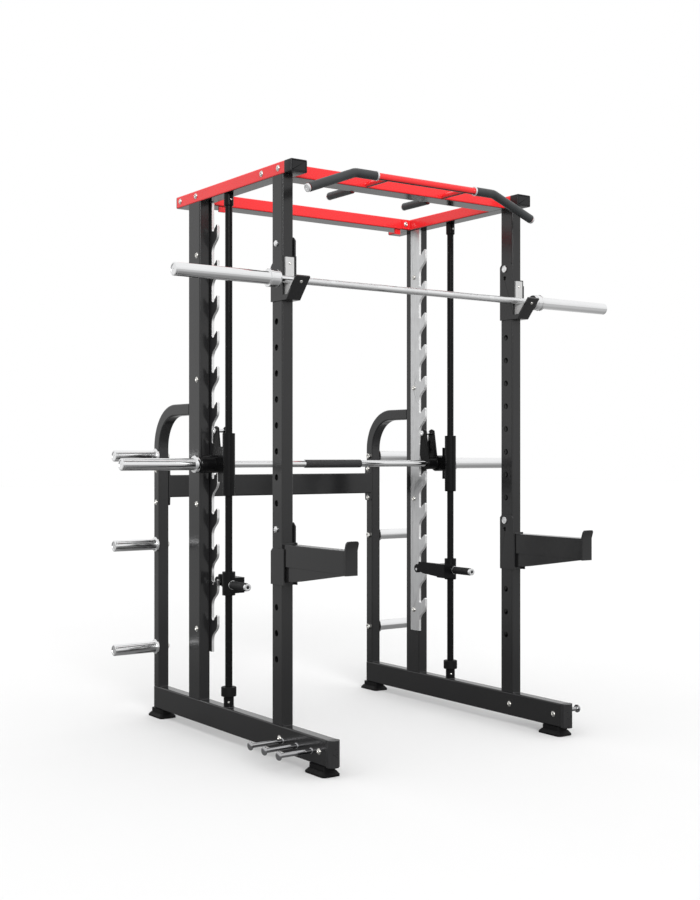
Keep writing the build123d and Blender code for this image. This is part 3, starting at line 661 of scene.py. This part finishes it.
def grip_trim():
    """Chrome rings at the pull-up grips' inner ends and domed plugs in every grip's end."""
    ring_width, side_plug_depth, end_plug_depth = 8 * MM, 7 * MM, 9 * MM
    near = 0.3 * MM
    bm = bmesh.new()
    for low, high in islands("pull_up_chrome_trim"):
        centre, size = (low + high) / 2, high - low
        if abs(size.x - ring_width) < near:
            radius, bore = size.z / 2, 14.1 * MM
            ring = [(0, bore), (0, radius), (ring_width, radius), (ring_width, bore)]
            start = Vector((low.x, centre.y, centre.z))
            lathe(bm, eased(ring, 1.4 * MM, 3), start, X, 48, ring=True)
            continue
        if abs(size.y - side_plug_depth) < near:
            start, out, radius, depth = Vector((centre.x, low.y, centre.z)), Y, 16.6 * MM, side_plug_depth
        else:                                     # the pull-up grips' ends slope down
            out = Vector((side_of(low, high) * 215, 0, -83)).normalized()
            radius, depth = 17 * MM, end_plug_depth
            start = centre - out * depth / 2
        plug = [(0, 0), (0, radius - 0.6 * MM), (0.6 * MM, radius), (depth - 2.6 * MM, radius),
                (depth - 0.7 * MM, radius - 1.3 * MM), (depth, radius - 3.4 * MM), (depth, radius - 6 * MM),
                (depth - 1.6 * MM, radius - 7 * MM), (depth - 1.6 * MM, 3 * MM), (depth - 2.6 * MM, 2.4 * MM),
                (depth - 2.6 * MM, 0)]
        lathe(bm, plug, start, out, 48)
    piece("turned_grip_trim", bm, "frame", "chrome", ("pull_up_chrome_trim",))


def bracket_pins():
    """The turned pins that hold the J-cups and spotter arms in the uprights' holes."""
    head, pin = 15 * MM, 12 * MM
    for node in ("j_cup_pins", "right_spotter_pin", "left_spotter_pin"):
        bm = bmesh.new()
        for low, high in islands(node):
            length = high.x - low.x
            profile = [(0, 0), (0, 6 * MM), (0.8 * MM, 7 * MM), (0.8 * MM, head - 4 * MM), (0, head - 3 * MM),
                       (0, head - 1.6 * MM), (1 * MM, head), (4.2 * MM, head), (5 * MM, head - 0.8 * MM),
                       (5 * MM, pin), (length - 6.4 * MM, pin), (length - 6 * MM, pin - 0.9 * MM),
                       (length - 4.8 * MM, pin - 0.9 * MM), (length - 4.4 * MM, pin),
                       (length - 3 * MM, pin - 0.4 * MM), (length - 1 * MM, pin - 3 * MM),
                       (length - 0.2 * MM, pin - 7 * MM), (length, 0)]
            lathe(bm, profile, inner_end(low, high), X * side_of(low, high), 48)
        piece(f"turned_{node}", bm, body_of(node), "chrome", (node,))


def hook_pins():
    """The pins across each hook's two plates, which drop into the catch plates' teeth."""
    bm = bmesh.new()
    head, pin, thick = 12 * MM, 8 * MM, 5 * MM
    half = [(1.6 * MM, 0), (1.6 * MM, 3.4 * MM), (0, 4.2 * MM), (0, head - 2.2 * MM), (1.2 * MM, head),
            (thick - 0.8 * MM, head), (thick, head - 0.8 * MM), (thick, pin)]
    for low, high in islands("hook_pins"):
        centre, length = (low + high) / 2, high.x - low.x
        profile = half + [(length - along, radius) for along, radius in reversed(half)]
        lathe(bm, profile, Vector((low.x, centre.y, centre.z)), X, 40)
    piece("turned_hook_pins", bm, body_of("hook_pins"), "chrome", ("hook_pins",))


def stop_handle(word):
    """A ringed rubber grip between a chrome ring and the handle's end disc."""
    node, body = f"{word}_stop_grip", f"{word}_stop"
    low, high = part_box(node)
    start = Vector(((low.x + high.x) / 2, high.y, (low.z + high.z) / 2))
    length, radius, bore = high.y - low.y, (high.x - low.x) / 2, 8.2 * MM
    profile = [(4 * MM, bore), (4 * MM, radius - 1.6 * MM), (5.6 * MM, radius)]
    pitch, groove = 6.5 * MM, radius - 1.2 * MM
    for k in range(int((length - 14 * MM) / pitch)):
        at = 9 * MM + k * pitch
        profile += [(at, radius), (at + 0.8 * MM, groove), (at + 2 * MM, groove), (at + 2.8 * MM, radius)]
    profile += [(length - 2 * MM, radius), (length - 0.4 * MM, radius - 1.8 * MM), (length - 0.4 * MM, bore)]
    bm = bmesh.new()
    lathe(bm, profile, start, -Y, 40, ring=True)
    piece(f"{word}_ringed_stop_grip", bm, body, "grip_rubber", (node,), stop_rubber)
    bm = bmesh.new()
    ring_radius = radius + 1.5 * MM
    ring = [(0.4 * MM, bore), (0.4 * MM, ring_radius), (3.8 * MM, ring_radius), (3.8 * MM, bore)]
    lathe(bm, eased(ring, 1 * MM, 3), start, -Y, 40, ring=True)
    end = start - Y * (length + 11.6 * MM)
    rim = [(0, 8 * MM), (0, 13.4 * MM), (1 * MM, 13.4 * MM), (1 * MM, 8 * MM)]
    lathe(bm, eased(rim, 0.3 * MM, 2), end, -Y, 40, ring=True)
    piece(f"{word}_stop_handle_rings", bm, body, "chrome")
    bm = bmesh.new()
    lathe(bm, [(0, 0), (0, 7.6 * MM), (0.8 * MM, 7.4 * MM), (1.1 * MM, 6 * MM), (1.1 * MM, 0)], end, -Y, 32)
    piece(f"{word}_stop_handle_plug", bm, body, "cap_black")


def small_screws():
    """Screws that hold the J-cups' liners and set screws in the rods' sockets and collars."""
    bm = bmesh.new()
    lip_run, lip_rise, lip_tip_height = 71, 82, 1.847
    lip_lean = Vector((0, -lip_run, lip_rise)).normalized()
    lip_out = Vector((0, -lip_rise, -lip_run)).normalized()
    for word, side in SIDES:
        lip_tip = Vector((side * column_x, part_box(f"{word}_j_cup")[0].y, lip_tip_height))
        button_head(bm, lip_tip - lip_lean * 24 * MM, lip_out, 6.5 * MM, 3.6 * MM, washer=False)
    for low, high in islands("j_cup_liners"):
        face = Vector(((low.x + high.x) / 2, high.y - 8.7 * MM, high.z - 24 * MM))
        button_head(bm, face, -Y, 5.5 * MM, 2.4 * MM, washer=False)
    for node, toward in (("rod_sockets", Vector((-0.5, -0.86, 0))), ("rod_top_collars", -Y)):
        for low, high in islands(node):
            seat = (low + high) / 2 + toward * ((high.x - low.x) / 2 - 0.6 * MM)
            button_head(bm, seat, toward, 4.6 * MM, 3.0 * MM, washer=False)
    piece("liner_and_set_screws", bm, "frame", "bolt_steel")


def carriage_seals():
    """Wiper seals in both ends of each carriage's tube."""
    bm = bmesh.new()
    rim, face = 19.8 * MM, 17.8 * MM
    for word, _ in SIDES:
        low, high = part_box(f"{word}_carriage")
        rod_low, rod_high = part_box(f"{word}_guide_rod")
        rod = (rod_low + rod_high) / 2
        bore = (rod_high.x - rod_low.x) / 2 + 0.15 * MM
        seal = [(-2.6 * MM, bore + 1 * MM), (-2.6 * MM, rim), (-0.2 * MM, rim), (0.2 * MM, face),
                (0.9 * MM, bore + 0.8 * MM), (0.9 * MM, bore)]
        for z, out in ((low.z, -Z), (high.z, Z)):
            lathe(bm, seal, Vector((rod.x, rod.y, z)), out, 40, ring=True)
    piece("carriage_wiper_seals", bm, "smith_carriage", "foot_rubber")


# --- Welds --------------------------------------------------------------------------------------

def bead(bm, points, radius, closed=False):
    """A rippled weld bead along straight runs between points."""
    step, sides = 2.4 * MM, 8
    places = []
    runs = list(zip(points, points[1:])) + ([(points[-1], points[0])] if closed else [])
    for a, b in runs:
        a, b = Vector(a), Vector(b)
        count = max(1, round((b - a).length / step))
        places += [a.lerp(b, k / count) for k in range(count)]
    if not closed:
        places.append(Vector(points[-1]))
    rings = []
    total = len(places)
    for i, place in enumerate(places):
        before = places[i - 1] if closed or i else place
        after = places[(i + 1) % total] if closed or i < total - 1 else place
        side, up = square_to((after - before).normalized())
        swell = radius * (1.0 if i % 2 else 0.84)
        if not closed and i in (0, total - 1):
            swell = radius * 0.4
        rings.append([bm.verts.new(circle_point(place, side, up, 2 * pi * k / sides, swell))
                      for k in range(sides)])
    for a, b in zip(rings, rings[1:] + (rings[:1] if closed else [])):
        # Rings may start at different angles where the run turns, so match the nearest corner
        shift = min(range(sides), key=lambda k: (a[0].co - b[k].co).length)
        for k in range(sides):
            bm.faces.new((a[k], a[(k + 1) % sides], b[(k + 1 + shift) % sides], b[(k + shift) % sides]))
    if not closed:
        bm.faces.new(rings[0][::-1])
        bm.faces.new(rings[-1])


def ring_bead(bm, centre, axis, circle, radius):
    """A bead all the way round a circle about an axis."""
    side, up = square_to(axis)
    count = 24
    points = [circle_point(Vector(centre), side, up, 2 * pi * k / count, circle) for k in range(count)]
    bead(bm, points, radius, closed=True)


def frame_welds():
    """Beads where the black tubes meet."""
    bm = bmesh.new()
    size = 3.2 * MM
    for word, _ in SIDES:
        rail_low, rail_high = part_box(f"{word}_base_rail")
        x0, x1 = rail_low.x + 5 * MM, rail_high.x - 5 * MM
        rail_width = rail_high.x - rail_low.x
        for node in ("front_upright", "rear_upright", "storage_post"):
            low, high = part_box(f"{word}_{node}")
            faces = [low.y, high.y]
            if node == "storage_post":            # its back is flush with the rail's end
                faces = [high.y - rail_width]
            for y in faces:
                bead(bm, [(x0, y, rail_high.z), (x1, y, rail_high.z)], size)
        post_low, post_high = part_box(f"{word}_storage_post")
        for z in (post_high.z, post_high.z - rail_width):
            bead(bm, [(x0, post_low.y, z), (x1, post_low.y, z)], size)
    for low, high in islands("rod_sockets"):
        centre = (low + high) / 2
        ring_bead(bm, (centre.x, centre.y, low.z), Z, (high.x - low.x) / 2, size * 0.9)
    piece("frame_weld_beads", bm, "frame", "frame_black")


def red_welds():
    """Beads at the red cross beams' ends and round the side grips; joints on top are ground flush."""
    bm = bmesh.new()
    size = 3.0 * MM
    side_beam_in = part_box("right_top_beam")[0].x
    # The rear beam's bolted pads stand 5 mm in front of its tube
    for node, pad in (("front_top_beam", 0), ("rear_top_beam", 5 * MM)):
        low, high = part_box(node)
        for x in (-side_beam_in, side_beam_in):
            for y in (low.y + pad, high.y):
                bead(bm, [(x, y, high.z - 45 * MM), (x, y, high.z - 5 * MM)], size)
    front_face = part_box("front_top_beam")[0].y
    for low, high in islands("neutral_grips"):
        centre = (low + high) / 2
        ring_bead(bm, (centre.x, front_face, centre.z + 2 * MM), Y, 11.4 * MM, size * 0.8)
        ring_bead(bm, (centre.x, low.y - 4 * MM, centre.z), Y, 10.4 * MM, size * 0.8)
    piece("red_weld_beads", bm, "frame", "frame_red")


# --- End caps and arm panels --------------------------------------------------------------------

def beam_caps():
    """Moulded caps on the top beams: long grooved noses in front, flat plugs behind."""
    bm = bmesh.new()
    for low, high in islands("beam_end_caps"):
        centre, size = (low + high) / 2, high - low
        outline = eased(rectangle(size.x, size.z), 6 * MM)
        front = centre.y < 0
        base = Vector((centre.x, high.y if front else low.y, centre.z))
        depth = size.y
        lip = min(3 * MM, depth * 0.4)
        rows = [(0, 0), (0, depth - lip), (lip * 0.25, depth - lip * 0.35), (lip * 0.9, depth)]
        if front:
            groove = depth - 1 * MM
            rows += [(5 * MM, depth), (5.6 * MM, groove), (6.8 * MM, groove), (7.4 * MM, depth)]
        across, out = (X, -Y) if front else (-X, Y)
        stack(bm, outline, base, across, Z, out, rows)
    piece("moulded_beam_caps", bm, "frame", "cap_black", ("beam_end_caps",))


def arm_panels(word, side):
    """Each spotter arm's box section, standing proud of the gusset under it."""
    low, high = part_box(f"{word}_spotter_arm")
    back, tip = front_y - 24 * MM, low.y + 21 * MM
    bottom, top = high.z - 168 * MM, high.z - 84.5 * MM
    outline = [(tip, bottom), (back, bottom), (back, top), (tip, top)]
    half_width = 25 * MM
    bm = bmesh.new()
    for face in (-1, 1):
        origin = (side * column_x + face * half_width, 0, 0)
        stack(bm, outline, origin, Y, Z, X * face, [(0, -0.6 * MM), (0, 0.7 * MM), (0.8 * MM, 1.5 * MM)])
    piece(f"{word}_arm_panels", bm, f"{word}_spotter_arm", "frame_black")


# --- Assembly of the worked pieces --------------------------------------------------------------

frame_bolts()
storage_pegs()
band_pegs()
for word, _ in SIDES:
    barbell_sleeve(word)
    smith_sleeve(word)
frame_welds()
red_welds()
beam_caps()
grip_trim()
bracket_pins()
hook_pins()
small_screws()
carriage_seals()
rounding = {
    "catch_plate": 0.9 * MM,
    "hook": 1.0 * MM,
    "j_cup": 0.8 * MM,
    "spotter_arm": 1.0 * MM,
    "stop_arm": 1.2 * MM,
    "carriage": 1.0 * MM,
}
for word, side in SIDES:
    stop_handle(word)
    arm_panels(word, side)
    for part, width in rounding.items():
        soften(f"{word}_{part}", width)
soften("rail_end_caps", 1.5 * MM)
soften("j_cup_liners", 1.2 * MM)
soften("rear_crossmember", 0.8 * MM)


# --- Floor, light and camera --------------------------------------------------------------------

def studio_floor():
    """A plain floor: near white to the camera, darker to light and reflections, most of all close in."""
    bm = bmesh.new()
    bm.faces.new([bm.verts.new((x, y, 0)) for x, y in rectangle(80.0, 80.0)])
    mesh = bpy.data.meshes.new("studio_floor")
    bm.to_mesh(mesh)
    bm.free()
    graph = Graph("studio_floor", (0.85, 0.85, 0.85), 0.9, Specular_IOR_Level=0.0)
    seen = graph.tree.nodes.new("ShaderNodeLightPath").outputs["Is Camera Ray"]
    distance = graph.tree.nodes.new("ShaderNodeVectorMath")
    distance.operation = "LENGTH"
    graph.put(distance, 0, graph.coords)
    far = graph.spread(distance.outputs["Value"], 0, 1, start=1.9, end=4.5)
    unseen = graph.mix(far, (0.24, 0.24, 0.24), (0.48, 0.48, 0.48))
    graph.put(graph.shader, "Base Color", graph.mix(seen, unseen, graph.vary(0.006, 0.6)))
    mesh.materials.append(graph.material)
    floor = bpy.data.objects.new("studio_floor", mesh)
    scene.collection.objects.link(floor)


def studio_world():
    """White all round to the camera; its light is a little dimmer below and near the horizon."""
    world = bpy.data.worlds.new("studio")
    scene.world = world
    world.use_nodes = True
    tree = world.node_tree
    background = tree.nodes["Background"]
    coords = tree.nodes.new("ShaderNodeTexCoord")
    axes = tree.nodes.new("ShaderNodeSeparateXYZ")
    tree.links.new(coords.outputs["Generated"], axes.inputs[0])
    ambient = tree.nodes.new("ShaderNodeMapRange")
    tree.links.new(axes.outputs["Z"], ambient.inputs["Value"])
    for socket, number in (("From Min", 0.12), ("From Max", 0.55), ("To Min", 0.90), ("To Max", 1.02)):
        ambient.inputs[socket].default_value = number
    seen = tree.nodes.new("ShaderNodeLightPath")
    strength = tree.nodes.new("ShaderNodeMath")
    strength.operation = "MAXIMUM"
    tree.links.new(ambient.outputs["Result"], strength.inputs[0])
    tree.links.new(seen.outputs["Is Camera Ray"], strength.inputs[1])
    background.inputs["Color"].default_value = (1, 1, 1, 1)
    tree.links.new(strength.outputs[0], background.inputs["Strength"])


def sun(name, towards, strength, spread):
    """A soft, distant light shining in a direction."""
    light = bpy.data.lights.new(name, "SUN")
    light.energy = strength
    light.angle = radians(spread)
    obj = bpy.data.objects.new(name, light)
    obj.rotation_mode = "QUATERNION"
    obj.rotation_quaternion = Vector(towards).to_track_quat("-Z", "Y")
    scene.collection.objects.link(obj)


def camera():
    """Level, turned 35 degrees from straight on, at chest height in front and to the left."""
    data = bpy.data.cameras.new("camera")
    data.sensor_width = 36.0
    data.lens = 51.41
    data.shift_y = 0.0062
    data.clip_end = 200.0
    obj = bpy.data.objects.new("camera", data)
    obj.location = (-3.2503, front_y - 4.1549, 1.1719)
    turn = -0.6174                                # radians, about the upright axis
    obj.rotation_euler = (radians(90), 0, turn)
    scene.collection.objects.link(obj)
    scene.camera = obj


studio_floor()
studio_world()
sun("front_softbox", (0.35, 0.85, -0.4), strength=1.6, spread=30)
scene.view_settings.view_transform = "Standard"
camera()
